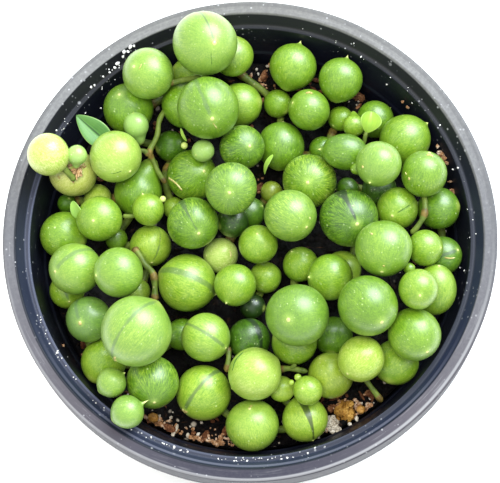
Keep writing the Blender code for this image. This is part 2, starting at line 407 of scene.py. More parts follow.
# Painted light on the ledge: lit lavender grey on its near side, lightest to the left, near black
# at the back; it shows most strongly at the ledge's two edges, as painted highlights.
ledge_painted_dark_back = blended(breadth, tint(22, 22, 23), tint(34, 34, 36))
ledge_painted_lit_front = blended(breadth, tint(72, 76, 96), tint(44, 46, 56))
painted_ledge_light = blended(rise(depth, 0.55, 0.85), ledge_painted_lit_front, ledge_painted_dark_back)
painted_ledge_edge_highlights = calc("MAXIMUM", climb(radius, 34.5, 34.62), climb(radius, 34.16, 34.04))
# Painted light on the step wall: bluish grey on its near side, near black at the back, with a thin
# painted highlight near its top on the near side.
painted_slope_light = blended(rise(depth, 0.3, 0.8), tint(36, 42, 62), tint(20, 21, 24))
painted_slope_highlight = times(rise(depth, 0.35, 0.1), times(climb(z, 66.0, 66.2), climb(z, 66.7, 66.5)))
painted_slope_light = blended(painted_slope_highlight, painted_slope_light, tint(92, 94, 112))
colour = blended(times(slope, 0.8), body, painted_slope_light)
colour = blended(times(ledge, scaled(painted_ledge_edge_highlights, 0.6, 0.35)), colour, painted_ledge_light)
colour = blended(lip, colour, scuffed_lip_and_painted_light)
dust = calc("MAXIMUM", specks(place, 900.0, 0.08, 0.24), specks(place, 2100.0, 0.14, 0.36))
dust = times(dust, times(rise(noise(place, 90.0), 0.42, 0.6), climb(z, 58.0, 66.0)))
colour = blended(times(dust, 0.5), colour, tint(190, 190, 196))
dressed(shader, colour, plus(times(lip, 0.22), scaled(cloud, 0.22, 0.34)),
        plus(times(grit, 0.6), drag), 0.03 * MM, 0.6)
shader.inputs["Specular IOR Level"].default_value = 0.35

shell = turned(eased(POT_PROFILE, CORNER_CUT), POT_STEPS)
# The thin rim stands a little off centre over the foot.
shell["points"][:, :2] += RIM_SHIFT * (shell["points"][:, 2:] / RIM_HEIGHT).clip(0, 1) ** 4
pot = add_piece("pot_shell", shell, pot_plastic, ["pot"])
punches = []
for number in range(DRAIN_HOLES):
    angle = (number + 0.5) / DRAIN_HOLES * math.tau
    punch = turned([(0, -2), (DRAIN_RADIUS, -2), (DRAIN_RADIUS, 5), (0, 5)], 40)
    punch["points"] += circled(DRAIN_CIRCLE, angle, 0)
    punches.append(punch)
punch_tool = mesh_object("punch", gathered(punches))
cut = pot.modifiers.new("drain_holes", "BOOLEAN")
cut.operation = "DIFFERENCE"
cut.solver = "EXACT"
cut.object = punch_tool
bpy.context.view_layer.update()
drilled = bpy.data.meshes.new_from_object(
    pot.evaluated_get(bpy.context.evaluated_depsgraph_get()))
pot.modifiers.remove(cut)
pot.data = drilled
bpy.data.objects.remove(punch_tool)
drilled.shade_smooth()
drilled.set_sharp_from_angle(angle=math.radians(40))


# ---- Potting mix ----
# Dark peat and coir pressed into the pot, lumpy on top, coloured darker still, near black,
# as painted shade for the deep gaps between the pearls. On it lie chips of bark, lumps of
# perlite, a few orange beads of feed, and perlite dust that has settled on the ledge.

MIX_TOP = 57.0
MIX_RINGS = 70
MIX_STEPS = 180
WAVES = 26
WAVE_HEIGHT = 0.085
WALL_LEAN = 0.134           # how far out the wall goes for each step up
draw = np.random.default_rng(11)
swell_waves = draw.uniform(0.25, 1.9, (WAVES, 2)) * draw.choice([-1, 1], (WAVES, 2))
swell_starts = draw.uniform(0, math.tau, WAVES)


def mix_height(x, y):
    """The lumpy top: many small waves in different directions, added, about the mix level."""
    angle = x[..., None] * swell_waves[:, 0] + y[..., None] * swell_waves[:, 1] + swell_starts
    return MIX_TOP - 0.25 + WAVE_HEIGHT * np.sin(angle).sum(axis=-1)


mix_low, mix_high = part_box("potting_mix")
mix_edge = mix_high.x / MM
mix_foot = mix_low.z / MM
foot_edge = mix_edge - (MIX_TOP - mix_foot) * WALL_LEAN
reach = (np.linspace(0.0, 1.0, MIX_RINGS + 1)[1:] * (mix_edge - 0.4))[:, None]
angle = np.arange(MIX_STEPS) / MIX_STEPS * math.tau
top_rings = circled(reach, angle, mix_height(reach * np.cos(angle), reach * np.sin(angle)))
side_rings = circled(np.array([[mix_edge], [foot_edge], [foot_edge * 0.5]]), angle,
                     np.array([[MIX_TOP - 0.9], [mix_foot], [mix_foot]]))
centre_height = float(mix_height(np.zeros(1), np.zeros(1))[0])

mix_matter, shader, place = new_material("mix_matter")
lumps = noise(place, 420.0, 6.0, 0.7)
grains = shader_node("ShaderNodeTexVoronoi", {"Vector": place, "Scale": 900.0}).outputs
fibre_place = shader_node("ShaderNodeMapping", {
    "Vector": place, "Scale": (300.0, 2600.0, 900.0), "Rotation": (0.2, 0.1, 0.7)}).outputs[0]
fibres = noise(fibre_place, 1.0, 3.0, 0.6)
# Near black: partly the peat's own dark colour, partly painted shade for the gaps between the
# pearls.
colour = toned(lumps, [(0.25, (2, 2, 4)), (0.45, (5, 4, 5)), (0.62, (12, 8, 8)),
                       (0.8, (44, 28, 20))])
colour = blended(times(rise(fibres, 0.66, 0.78), 0.35), colour, tint(120, 84, 54))
colour = blended(specks(place, 800.0, 0.06, 0.35), colour, tint(160, 150, 136))
dressed(shader, colour, scaled(lumps, 0.2, 0.78), calc("SUBTRACT", lumps, grains["Distance"]),
        0.6 * MM)
add_piece("mix_body", closed_skin((0, 0, centre_height), np.concatenate([top_rings, side_rings]),
                                  (0, 0, mix_foot)), mix_matter, ["potting_mix"])


def scattered_bits(places, sizes, flat, rough, seed):
    """Broken bits: one small ball of rings for all, each bit pushed in and out by its own
    draw, stretched to its own three sizes, turned by its own draw and set in its place."""
    rings, around = 4, 8
    deal = np.random.default_rng(seed)
    count = len(places)
    polar = (np.arange(1, rings + 1) / (rings + 1) * math.pi)[:, None]
    turn = np.arange(around) / around * math.tau
    unit = circled(np.sin(polar), turn, np.cos(polar)).reshape(-1, 3)
    unit = np.concatenate([[[0, 0, 1]], unit, [[0, 0, -1]]])
    bits = unit[None] * (1 + rough * deal.uniform(-1, 1, (count, len(unit), 1)))
    bits = bits * np.asarray(sizes, float).reshape(count, 1, -1) / 2
    yaw = deal.uniform(0, math.tau, count)
    lean = deal.uniform(-0.5, 0.5, count) * (1 - flat) + deal.uniform(-0.12, 0.12, count)
    cos_y, sin_y, cos_l, sin_l = np.cos(yaw), np.sin(yaw), np.cos(lean), np.sin(lean)
    zero = np.zeros(count)
    spin = np.stack([np.stack([cos_y, -sin_y * cos_l, sin_y * sin_l], -1),
                     np.stack([sin_y, cos_y * cos_l, -cos_y * sin_l], -1),
                     np.stack([zero, sin_l, cos_l], -1)], axis=1)
    bits = np.einsum("nij,nkj->nki", spin, bits) + np.asarray(places, float)[:, None]
    pattern = closed_skin(unit[0], unit[1:-1].reshape(rings, around, 3), unit[-1])
    step = (np.arange(count) * len(unit))[:, None, None]
    return {"points": bits.reshape(-1, 3),
            "quads": (pattern["quads"][None] + step).reshape(-1, 4),
            "fans": (pattern["fans"][None] + step).reshape(-1, 3), "marks": {}}


def on_mix(spots, lift=0.1):
    """Flat places set on the lumpy top, a little above it."""
    spots = np.asarray(spots, float)
    return np.column_stack([spots, mix_height(spots[:, 0], spots[:, 1]) + lift])


def spread(count, inner, outer, deal):
    """Random places between two circles, even over the area."""
    far = np.sqrt(deal.uniform(inner ** 2, outer ** 2, count))
    turn = deal.uniform(0, math.tau, count)
    return circled(far, turn, far)[:, :2]


def drawn_sizes(deal, count, *limits):
    """Three random sizes for each bit, each between its own limits."""
    return np.column_stack([deal.uniform(low, high, count) for low, high in limits])


def add_bits(name, places, sizes, flat, rough, seed, matter, smooth=False):
    """Makes loose bits in the pot one piece."""
    add_piece(name, scattered_bits(places, sizes, flat, rough, seed), matter,
              smooth=smooth)


def crumb_material(name, colours, roughness, scale, relief):
    """Matter in bits: a row of colours by cloudy noise, with a broken, pitted surface."""
    material, shader, place = new_material(name)
    cloud = noise(place, scale, 4.0, 0.65)
    pits = noise(place, scale * 6.0, 3.0, 0.7)
    stops = [(0.36 + 0.28 * n / (len(colours) - 1), colour) for n, colour in enumerate(colours)]
    dressed(shader, toned(scaled(pits, 0.4, times(cloud, 0.6)), stops),
            scaled(pits, 0.2, roughness - 0.1), pits, relief)
    return material


# Coir crumbs as dark as the mix: partly their own colour, partly painted shade for the gaps between
# the pearls.
coir_matter = crumb_material("coir_matter", [(4, 4, 5), (12, 8, 7), (48, 30, 20)],
                             0.9, 700.0, 0.2 * MM)
bark_matter = crumb_material("bark_matter", [(34, 20, 12), (92, 54, 32), (150, 108, 74)],
                             0.8, 500.0, 0.25 * MM)
perlite_matter = crumb_material("perlite_matter", [(132, 118, 100), (184, 174, 158),
                                                   (214, 208, 198)], 0.85, 600.0, 0.2 * MM)
feed_matter = crumb_material("feed_matter", [(96, 64, 24), (150, 106, 44), (190, 146, 84)],
                             0.45, 500.0, 0.05 * MM)

deal = np.random.default_rng(23)
coir_spots = np.concatenate([spread(420, 0, 31, deal), spread(360, 25, 31.2, deal)])
coir_sizes = drawn_sizes(deal, 780, (0.5, 2.4), (0.25, 0.7), (0.2, 0.6))
add_bits("coir_crumbs", on_mix(coir_spots), coir_sizes, 0.4, 0.3, 5, coir_matter)

BARK_SPOTS = [(2.3, 28.9), (1.2, 27.0), (17.4, 25.4), (1.6, 10.3), (28.2, 12.9), (28.0, 11.4),
              (-6.9, -29.6), (-3.8, -28.6), (18.9, -23.3), (-26.1, -14.9), (-12.5, -28.3),
              (12.6, -25.4), (-15.5, -26.6)]
BARK_SIZES = [(2.0, 1.1, 1.0), (1.6, 1.2, 0.8), (2.2, 1.4, 1.0), (1.8, 1.0, 0.9), (2.6, 1.3, 1.0),
              (1.5, 1.1, 0.9), (2.2, 0.9, 0.7), (1.8, 0.9, 0.6), (2.0, 1.2, 0.9), (1.6, 1.0, 0.8),
              (2.0, 1.1, 0.7), (1.6, 1.2, 0.9), (1.7, 1.2, 0.9)]
more_bark = np.concatenate([spread(60, 4, 30.5, deal), spread(120, 26, 30.8, deal)])
bark_sizes = np.concatenate([BARK_SIZES,
                             drawn_sizes(deal, 180, (0.5, 1.6), (0.3, 0.9), (0.25, 0.6))])
add_bits("bark_chips", on_mix(BARK_SPOTS + more_bark.tolist(), 0.35), bark_sizes, 0.5, 0.3, 6,
         bark_matter)

PERLITE_SPOTS = [(12.4, -27.6), (12.8, -29.0), (13.9, -28.6), (15.5, -27.9), (16.5, -27.0),
                 (-11.5, -28.6), (-8.0, -29.2), (9.5, -28.8), (-9.6, -29.4), (10.6, -29.6)]
PERLITE_SIZES = [(2.8, 2.3, 2.0), (0.8, 0.7, 0.6), (0.7, 0.6, 0.5), (0.8, 0.6, 0.6),
                 (0.9, 0.6, 0.5), (2.4, 0.7, 0.7), (0.7, 0.5, 0.5), (0.6, 0.5, 0.4),
                 (0.9, 0.6, 0.5), (0.6, 0.5, 0.5)]
more_perlite = np.concatenate([spread(50, 10, 30.8, deal), spread(110, 29, 31.2, deal)])
perlite_sizes = np.concatenate([PERLITE_SIZES,
                                np.repeat(deal.uniform(0.15, 0.6, (160, 1)), 3, 1)])
add_bits("perlite_lumps", on_mix(PERLITE_SPOTS + more_perlite.tolist(), 0.4), perlite_sizes,
         0.2, 0.2, 7, perlite_matter)

FEED_SPOTS = [(30.1, 8.8), (17.2, -25.6), (-15.0, -26.6)]
FEED_SIZES = [(1.9, 1.8, 1.8), (1.5, 1.5, 1.4), (1.9, 1.6, 1.6)]
add_bits("feed_beads", on_mix(FEED_SPOTS, 1.0), FEED_SIZES, 0.2, 0.16, 8, feed_matter,
         smooth=True)

# Two lumps of many grains: the spot, how far the grains reach, and what they are.
LUMP_GRAINS = 30
amber_matter = crumb_material("amber_matter", [(84, 52, 18), (150, 108, 44), (196, 158, 84)],
                              0.6, 600.0, 0.15 * MM)
LUMPS = {"amber_lump": ((14.7, -25.7), (1.0, 1.15, 0.5), amber_matter),
         "perlite_lump": ((12.5, -27.7), (0.7, 0.75, 0.4), perlite_matter)}
for name, (spot, lump, matter) in LUMPS.items():
    offsets = deal.normal(0, 0.75, (LUMP_GRAINS, 3)).clip(-1, 1) * lump
    add_bits(name, on_mix([spot] * LUMP_GRAINS, 0.9) + offsets,
             deal.uniform(0.7, 1.6, (LUMP_GRAINS, 3)), 0.0, 0.25, 31, matter)

# Loose crumbs in drifts on the mix: place, spread either way, and how many.
CRUMB_DRIFTS = [((-13.4, -28.2), (1.9, 0.9), 46), ((-6.8, -29.9), (2.4, 0.7), 60),
                ((-1.0, -30.6), (2.0, 0.4), 26), ((16.6, -25.2), (2.2, 1.0), 50),
                ((10.5, -28.8), (1.4, 0.6), 24), ((2.0, 27.6), (1.2, 1.6), 26),
                ((1.4, 10.2), (0.9, 0.8), 16), ((-26.0, -14.8), (0.7, 0.9), 14)]
crumb_spots = np.concatenate([np.array(middle) + deal.normal(0, 1, (count, 2)) * width
                              for middle, width, count in CRUMB_DRIFTS])
crumb_spots *= np.minimum(1.0, 31.0 / np.hypot(*crumb_spots.T))[:, None]
crumb_matter = crumb_material("crumb_matter", [(72, 44, 26), (158, 116, 80), (214, 198, 178)],
                              0.8, 420.0, 0.1 * MM)
count = len(crumb_spots)
crumb_sizes = deal.uniform(0.25, 0.75, (count, 1)) * deal.uniform(0.5, 1.5, (count, 3))
add_bits("loose_crumbs", on_mix(crumb_spots, 0.3), crumb_sizes, 0.2, 0.3, 35, crumb_matter)

# Crumbs that cling to the wall: the turn in degrees, the height, and the size.
WALL_CRUMBS = [(24.5, 62.6, 1.1), (23.4, 62.9, 0.9), (22.0, 63.0, 0.8), (25.6, 62.4, 1.0),
               (27.2, 62.8, 0.7), (24.0, 61.9, 0.8), (14.6, 61.0, 0.8), (41.0, 62.5, 0.7),
               (43.0, 62.6, 0.5), (209.0, 61.2, 0.6), (17.3, 61.6, 0.7), (22.8, 62.2, 0.7)]
turn, height, size = np.array(WALL_CRUMBS).T
reach = np.interp(height, [59.0, LEDGE_HEIGHT], [32.6, LEDGE_INNER]) - 0.2
add_bits("wall_crumbs", circled(reach, np.radians(turn), height),
         size[:, None] * deal.uniform(0.5, 1.3, (len(size), 3)), 0.0, 0.3, 33, crumb_matter)

# Dust lies in drifts on the ledge and the wall under it: the turn of each drift in degrees
# from the right, how far it spreads, and how many specks it holds.
DUST_DRIFTS = [(122, 2.0, 8), (129, 1.5, 5), (136, 2.0, 4), (142, 1.5, 3), (149, 2.5, 10),
               (201, 2.0, 8), (206, 2.5, 10), (211, 2.0, 14), (216, 2.5, 10), (223, 2.0, 8),
               (229, 1.2, 7), (239, 1.8, 10), (246, 2.5, 18), (253, 2.5, 16), (264, 2.5, 16),
               (271, 5.0, 26), (279, 3.0, 12), (286, 2.0, 8), (60, 20.0, 14), (20, 25.0, 12)]
turn = np.concatenate([deal.normal(middle, width, count) for middle, width, count in DUST_DRIFTS])
count = len(turn)
reach = deal.normal(34.15, 0.55, count).clip(32.9, 35.4)
dust_sizes = deal.uniform(0.08, 0.28, (count, 1)) * deal.uniform(0.4, 1.6, (count, 3))
# The larger pale crumbs among the dust: the turn, the radius, and the size.
PALE_CRUMBS = [(120.2, 35.8, 0.5), (121.2, 35.9, 0.7), (122.2, 35.6, 0.6), (123.1, 35.8, 0.7),
               (123.9, 35.4, 0.5), (126.0, 35.1, 0.75), (127.2, 34.9, 0.6), (129.0, 34.8, 0.4),
               (131.0, 34.9, 0.4), (135.2, 34.9, 0.5), (134.2, 34.8, 0.4), (251.0, 34.2, 0.5)]
pale_turn, pale_reach, pale_size = np.array(PALE_CRUMBS).T
turn = np.concatenate([turn, pale_turn])
reach = np.concatenate([reach, pale_reach])
dust_sizes = np.vstack([dust_sizes, pale_size[:, None] * (1.0, 0.75, 0.6)])
height = np.interp(reach, [32.6, LEDGE_INNER, LEDGE_OUTER, LIP_INNER],
                   [59.0, LEDGE_HEIGHT, LEDGE_HEIGHT, RIM_HEIGHT])
dust_matter = crumb_material("dust_matter", [(190, 188, 186), (222, 221, 220), (240, 240, 240)],
                             0.9, 900.0, 0.05 * MM)
add_bits("ledge_dust", circled(reach, np.radians(turn), height + 0.06), dust_sizes, 0.2, 0.25, 9,
         dust_matter)


# ---- Pearls ----
# Each leaf is a juicy ball on a short stalk, with a tiny brown-tipped point at the far end
# and a narrow see-through window from point to stalk. Fine lines run the same way.

PEARL_RINGS = 38
PEARL_AROUND = 56
LINE_COUNT = 32.0
POINT_SPREAD = 0.055        # how fast the point falls away, in radians from its end
LOBES = ((2, 0.012), (3, 0.007))        # how many bulges go round a pearl, and how high
SWELL = 0.010               # how high the waves along a pearl are
FURROW_DEPTH = 0.012


def marked(shader, name):
    """The three parts of a mark that the mesh carries at its points."""
    mark = shader.id_data.nodes.new("ShaderNodeAttribute")
    mark.attribute_name = name
    return parts(mark.outputs["Vector"])


def swayed(level, cloud, reach):
    """A level that a noise from 0 to 1 moves up and down by up to half the reach."""
    return scaled(calc("SUBTRACT", cloud, 0.5), reach, level)


pearl_skin, shader, place = new_material("pearl_skin")
across, aside, along = marked(shader, "leaf_axis")
tone, warm, seed = marked(shader, "leaf_look")
width, dark, narrowing = marked(shader, "leaf_window")
lined, corky, mint = marked(shader, "leaf_marks")
girth = calc("SQRT", plus(scaled(across, across, 0.0001), times(aside, aside)))
# Fine lines: noise over the turn about the leaf's axis, drawn out from point to stalk.
lines = noise(combined(scaled(calc("DIVIDE", across, girth), LINE_COUNT, seed),
                       times(calc("DIVIDE", aside, girth), LINE_COUNT),
                       scaled(along, 5.0, seed)), 1.0, 2.0, 0.6)
clouds = noise(place, 300.0, 3.0, 0.6)
grain = noise(place, 4200.0, 1.0, 0.6)
shade = swayed(tone, clouds, 0.22)
shade = swayed(shade, lines, times(scaled(girth, 1.4, 0.3), lined))
shade = swayed(shade, grain, 0.36)
colour = toned(shade, [(0.0, (26, 50, 8)), (0.25, (63, 102, 16)), (0.5, (106, 144, 28)),
                       (0.75, (153, 179, 60)), (1.0, (208, 216, 134))])
colour = blended(warm, colour, tint(160, 148, 52))
colour = blended(mint, colour, tint(146, 182, 104))
# A pale star round the point, where the lines meet, and a paler end at the stalk.
star = rise(scaled(lines, 0.05, along), 0.985, 1.045)
colour = blended(times(star, 0.55), colour, tint(166, 196, 88))
colour = blended(times(rise(along, -0.93, -1.0), 0.6), colour, tint(148, 164, 70))
# The window: a soft darker band down one side, patchy, narrower towards the point where the
# leaf has it so, and fading towards both ends.
half = times(width, calc("SUBTRACT", 1.0, times(narrowing, rise(along, -0.1, 0.95))))
ragged = swayed(calc("ABSOLUTE", aside), clouds, 0.10)
pane = rise(calc("SUBTRACT", ragged, half), 0.025, -0.03)
for mask in (rise(across, 0.02, 0.25), rise(width, 0.0, 0.02), scaled(lines, 0.6, 0.5),
             scaled(dark, 0.43, 0.52)):
    pane = times(pane, mask)
colour = blended(pane, colour, blended(dark, tint(76, 102, 70), tint(6, 20, 20)))
wax = calc("MAXIMUM", specks(place, 1000.0, 0.12, 0.17),
           times(specks(place, 2400.0, 0.22, 0.30), 0.6))
colour = blended(times(wax, 0.55), colour, tint(204, 222, 160))
# The dry tip of the point, cream or brown.
callus = rise(scaled(grain, 0.002, along), 0.9983, 0.9996)
colour = blended(callus, colour, blended(corky, tint(206, 212, 130), tint(132, 100, 60)))
dressed(shader, colour, scaled(clouds, 0.16, 0.30),
        scaled(grain, 0.6, scaled(lines, lined, wax)), 0.03 * MM, 0.6)
shader.inputs["Specular IOR Level"].default_value = 1.0
shader.inputs["Coat Weight"].default_value = 0.5
shader.inputs["Coat Roughness"].default_value = 0.42


def facing(right, up):
    """The direction of a spot on a ball, by how far right and up of its middle the spot
    shows to the viewer; a spot on or past the outline lies on the outline."""
    depth = math.sqrt(max(0.0, 1.0 - right * right - up * up))
    return np.array((VIEW_RIGHT * right + VIEW_UP * up + VIEWER * depth).normalized())


def leaf(tone, tip=None, window=None, width=0.0, dark=0.3, narrowing=0.0, point=0.05,
         neck=0.07, stretch=1.0, lined=0.36, corky=0.2, warm=0.0, mint=0.0):
    """How one pearl looks: its tone from 0, dark, to 1, pale; where its point shows; a spot
    that its window crosses, half the window's width, how dark it is and how much it narrows
    towards the point; how far its ends draw out; and how strong its lines are, how brown its
    point, and how yellow or mint its skin."""
    return dict(tone=tone, tip=tip, window=window, width=width, dark=dark,
                narrowing=narrowing, point=point, neck=neck, stretch=stretch, lined=lined,
                corky=corky, warm=warm, mint=mint)


def pearl(centre, diameter, look, seed):
    """A ball about the leaf's own axis: its radius is one, plus a sharp rise at the point
    and a round one at the stalk, both fading with the angle from their end, plus slow waves
    round and along it, less a shallow furrow where the window runs."""
    hidden = 2.4 * seed
    if look["tip"] is None:
        tip = np.array(VIEW_RIGHT * math.cos(hidden) + VIEW_UP * math.sin(hidden) * 0.8
                       - VIEWER * 0.45)
    else:
        tip = facing(*look["tip"])
    tip = tip / np.linalg.norm(tip)
    side = facing(*look["window"]) if look["window"] else np.array((math.cos(hidden), 0.3, 0.8))
    side = side - tip * side.dot(tip)
    side = side / np.linalg.norm(side)
    other = np.cross(tip, side)
    run = np.linspace(0.0, 1.0, PEARL_RINGS + 2)[1:-1]
    polar = (math.pi * (0.2 * run + 0.8 * run ** 1.5))[:, None]
    turn = (np.arange(PEARL_AROUND) / PEARL_AROUND * math.tau)[None]
    x = np.sin(polar) * np.cos(turn)
    y = np.sin(polar) * np.sin(turn)
    z = np.cos(polar) + 0 * turn
    radius = (1 + look["point"] * np.exp(-polar / POINT_SPREAD) + SWELL * np.cos(3 * polar + seed)
              + look["neck"] * np.exp(-((math.pi - polar) / (0.24 + 0.22 * look["neck"])) ** 2))
    for number, (lobes, lobe_height) in enumerate(LOBES, 1):
        radius = radius + lobe_height * np.sin(lobes * turn + number * seed) * np.sin(polar) ** 2
    if look["width"]:
        furrow = np.exp(-(y / (look["width"] + 0.02)) ** 2) * (x > 0) * np.sin(polar)
        radius = radius - FURROW_DEPTH * furrow
    draw_out = look["stretch"]
    slim = 1 / math.sqrt(draw_out)
    local = np.stack([radius * x * slim, radius * y * slim, radius * z * draw_out], axis=-1)
    ends = np.array([[0, 0, draw_out * (1 + look["point"])],
                     [0, 0, -draw_out * (1 + look["neck"])]])
    frame_axes = np.stack([side, other, tip])
    size = diameter / 2
    rings = np.asarray(centre) + size * local @ frame_axes
    first, last = np.asarray(centre) + size * ends @ frame_axes
    shape = closed_skin(first, rings, last)
    unit = np.concatenate([[[0, 0, 1]], np.stack([x, y, z], -1).reshape(-1, 3), [[0, 0, -1]]])
    rows = {"leaf_look": (look["tone"], look["warm"], 7.3 * seed),
            "leaf_window": (look["width"], look["dark"], look["narrowing"]),
            "leaf_marks": (look["lined"], look["corky"], look["mint"])}
    shape["marks"] = {mark: np.tile(row, (len(unit), 1)) for mark, row in rows.items()}
    shape["marks"]["leaf_axis"] = unit
    return shape


PEARL_LOOKS = {
    # North side, against the wall.
    1: leaf(0.45), 2: leaf(0.5, (0.3, 1.0), point=0.18, corky=0),
    3: leaf(0.46, (0.3, 1.0), point=0.18, corky=0),
    4: leaf(0.54), 5: leaf(0.46, (-0.8, 0.3)), 6: leaf(0.5, (0.8, 0.6), point=0.14, corky=0),
    7: leaf(0.52, (0.0, -0.9), neck=0.5),
    # Middle, low.
    8: leaf(0.06), 9: leaf(0.42, (0.5, 0.15), lined=0.8), 10: leaf(0.35, (0.35, 0.0), lined=1.1),
    11: leaf(0.47, (-0.1, -0.1), lined=1.2),
    12: leaf(0.52, (-0.3, -0.35), (0.5, 0.1), 0.02, dark=0.4),
    13: leaf(0.58, (1.0, -0.4), (0.18, 0.25), 0.10, dark=0.25, corky=0, point=0.09),
    14: leaf(0.51, (-0.9, 0.0), point=0.1, corky=0), 15: leaf(0.55, (-0.05, 0.55)),
    16: leaf(0.58, (-0.3, 0.9), point=0.14, corky=0),
    17: leaf(0.40, (0.25, -0.4), (-0.3, 0.6), 0.11, dark=0.6, narrowing=0.75, lined=0.8),
    18: leaf(0.30, (0.22, -0.22), (-0.13, 0.6), 0.21, dark=1.0, narrowing=0.8, lined=0.9),
    19: leaf(0.36, (-1.0, 0.1), point=0.22, stretch=1.18, corky=0),
    # West side, against the wall.
    20: leaf(0.9, warm=0.35), 21: leaf(0.52, (-0.2, -0.1)),
    22: leaf(0.30, (-0.3, -0.1), (-0.5, 0.5), 0.08, dark=0.1, corky=0.1, mint=0.2),
    23: leaf(0.54, (-0.7, -0.1), (0.2, 0.7), 0.08, dark=0.1, mint=0.15),
    # South side.
    24: leaf(0.40, (0.1, -0.7), lined=0.9),
    25: leaf(0.58, (0.8, -0.4), (-0.1, 0.3), 0.07, dark=0.35, mint=0.1),
    26: leaf(0.54, lined=0.3), 27: leaf(0.53, (0.8, 0.6), point=0.2, corky=0, mint=0.2),
    28: leaf(0.47, (0.9, 0.5), point=0.5, corky=0, mint=0.25), 29: leaf(0.6, (-0.4, 0.2)),
    30: leaf(0.73, (-0.6, -0.6)),
    31: leaf(0.72, (-0.95, -0.6), (-0.5, 0.8), 0.02, dark=0.3, lined=0.3, mint=0.15),
    # East side.
    32: leaf(0.55, (0.1, 0.9), stretch=1.15), 33: leaf(0.53, (0.8, 0.0)),
    34: leaf(0.48, (0.4, -0.6), stretch=1.05), 35: leaf(0.55, (0.0, -0.3)),
    36: leaf(0.47, (0.2, 0.9), corky=0.1),
    # The top of the heap.
    37: leaf(0.42, (0.4, -0.5)), 38: leaf(0.47, (-0.1, -0.8), mint=0.06),
    39: leaf(0.51, (-0.4, -0.8), point=0.1, corky=0, mint=0.2),
    40: leaf(0.54, (-0.4, -0.8), point=0.12, corky=0),
    41: leaf(0.42, (-0.05, -0.2), lined=1.0, mint=0.1),
    42: leaf(0.50, (0.6, -0.45), lined=0.75, mint=0.15),
    43: leaf(0.62, (-0.6, -0.4), mint=0.6),
    44: leaf(0.54, (0.3, -0.1), (0.15, 0.4), 0.03, dark=0.7, mint=0.2),
    45: leaf(0.45, (0.15, -0.4), (-0.2, 0.4), 0.05, dark=0.15),
    46: leaf(0.53, (-0.5, 0.2), mint=0.15),
    47: leaf(0.72, (0.6, -0.6), corky=0, mint=0.2), 48: leaf(0.86, (-0.6, 0.5)),
    49: leaf(0.40, (-0.3, -0.1), lined=0.35, mint=0.08),
    50: leaf(0.53, (-0.6, -0.8), (-0.2, 0.3), 0.045, dark=0.2, corky=0.8, mint=0.2),
    51: leaf(0.50, (-0.85, -0.1), corky=0.1, mint=0.1),
}

pearl_places = {}
for number, look in PEARL_LOOKS.items():
    node = f"pearl_{number:02d}"
    low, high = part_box(node)
    centre = np.array((low + high) / 2) / MM
    diameter = (high.z - low.z) / MM
    pearl_places[number] = (centre, diameter)
    add_piece(f"{node}_leaf", pearl(centre, diameter, look, number), pearl_skin,
              [node])


# ---- Strands on the mix ----
# Seven thin stems creep over the mix, each with its small ground pearls on short stalks.
# The stems are round and fleshy, tan to green, with brown rings where leaves grow.

STEM_RADIUS = 0.6
STALK_RADIUS = 0.38
STEM_LEVEL = 57.9
STEM_AROUND = 12
JOINT_LENGTH = 0.7
JOINT_SWELL = 0.35

stem_skin, shader, place = new_material("stem_skin")
brown, length, turned_by = marked(shader, "stem_look")
ribs = noise(combined(times(calc("SINE", turned_by), 3.0), times(calc("COSINE", turned_by), 3.0),
                      times(length, 0.5)), 1.0, 3.0, 0.6)
clouds = noise(place, 700.0, 3.0, 0.6)
green = toned(clouds, [(0.3, (72, 92, 28)), (0.7, (120, 138, 56))])
green = blended(rise(ribs, 0.4, 0.7), blended(0.3, green, tint(44, 54, 22)), green)
bark = toned(clouds, [(0.3, (46, 36, 14)), (0.7, (134, 114, 54))])
barked = rise(scaled(clouds, 0.4, calc("SUBTRACT", brown, 0.2)), 0.25, 0.7)
colour = blended(barked, green, bark)
colour = blended(times(specks(place, 1500.0, 0.14, 0.25), 0.5), colour, tint(176, 168, 120))
dressed(shader, colour, scaled(clouds, 0.2, 0.42), plus(ribs, clouds), 0.05 * MM, 0.7)


def through(points, steps=6):
    """A smooth route through the points: each stretch is the cubic whose ends point along
    the line between the neighbours on either side."""
    points = np.asarray(points, float)
    padded = np.concatenate([points[:1] * 2 - points[1:2], points, points[-1:] * 2 - points[-2:-1]])
    a, b, c, d = (padded[n:len(padded) - 3 + n, None] for n in range(4))
    t = (np.arange(steps) / steps)[None, :, None]
    route = 0.5 * (2 * b + (c - a) * t + (2 * a - 5 * b + 4 * c - d) * t ** 2
                   + (3 * b - a - 3 * c + d) * t ** 3)
    return np.concatenate([route.reshape(-1, 3), points[-1:]])


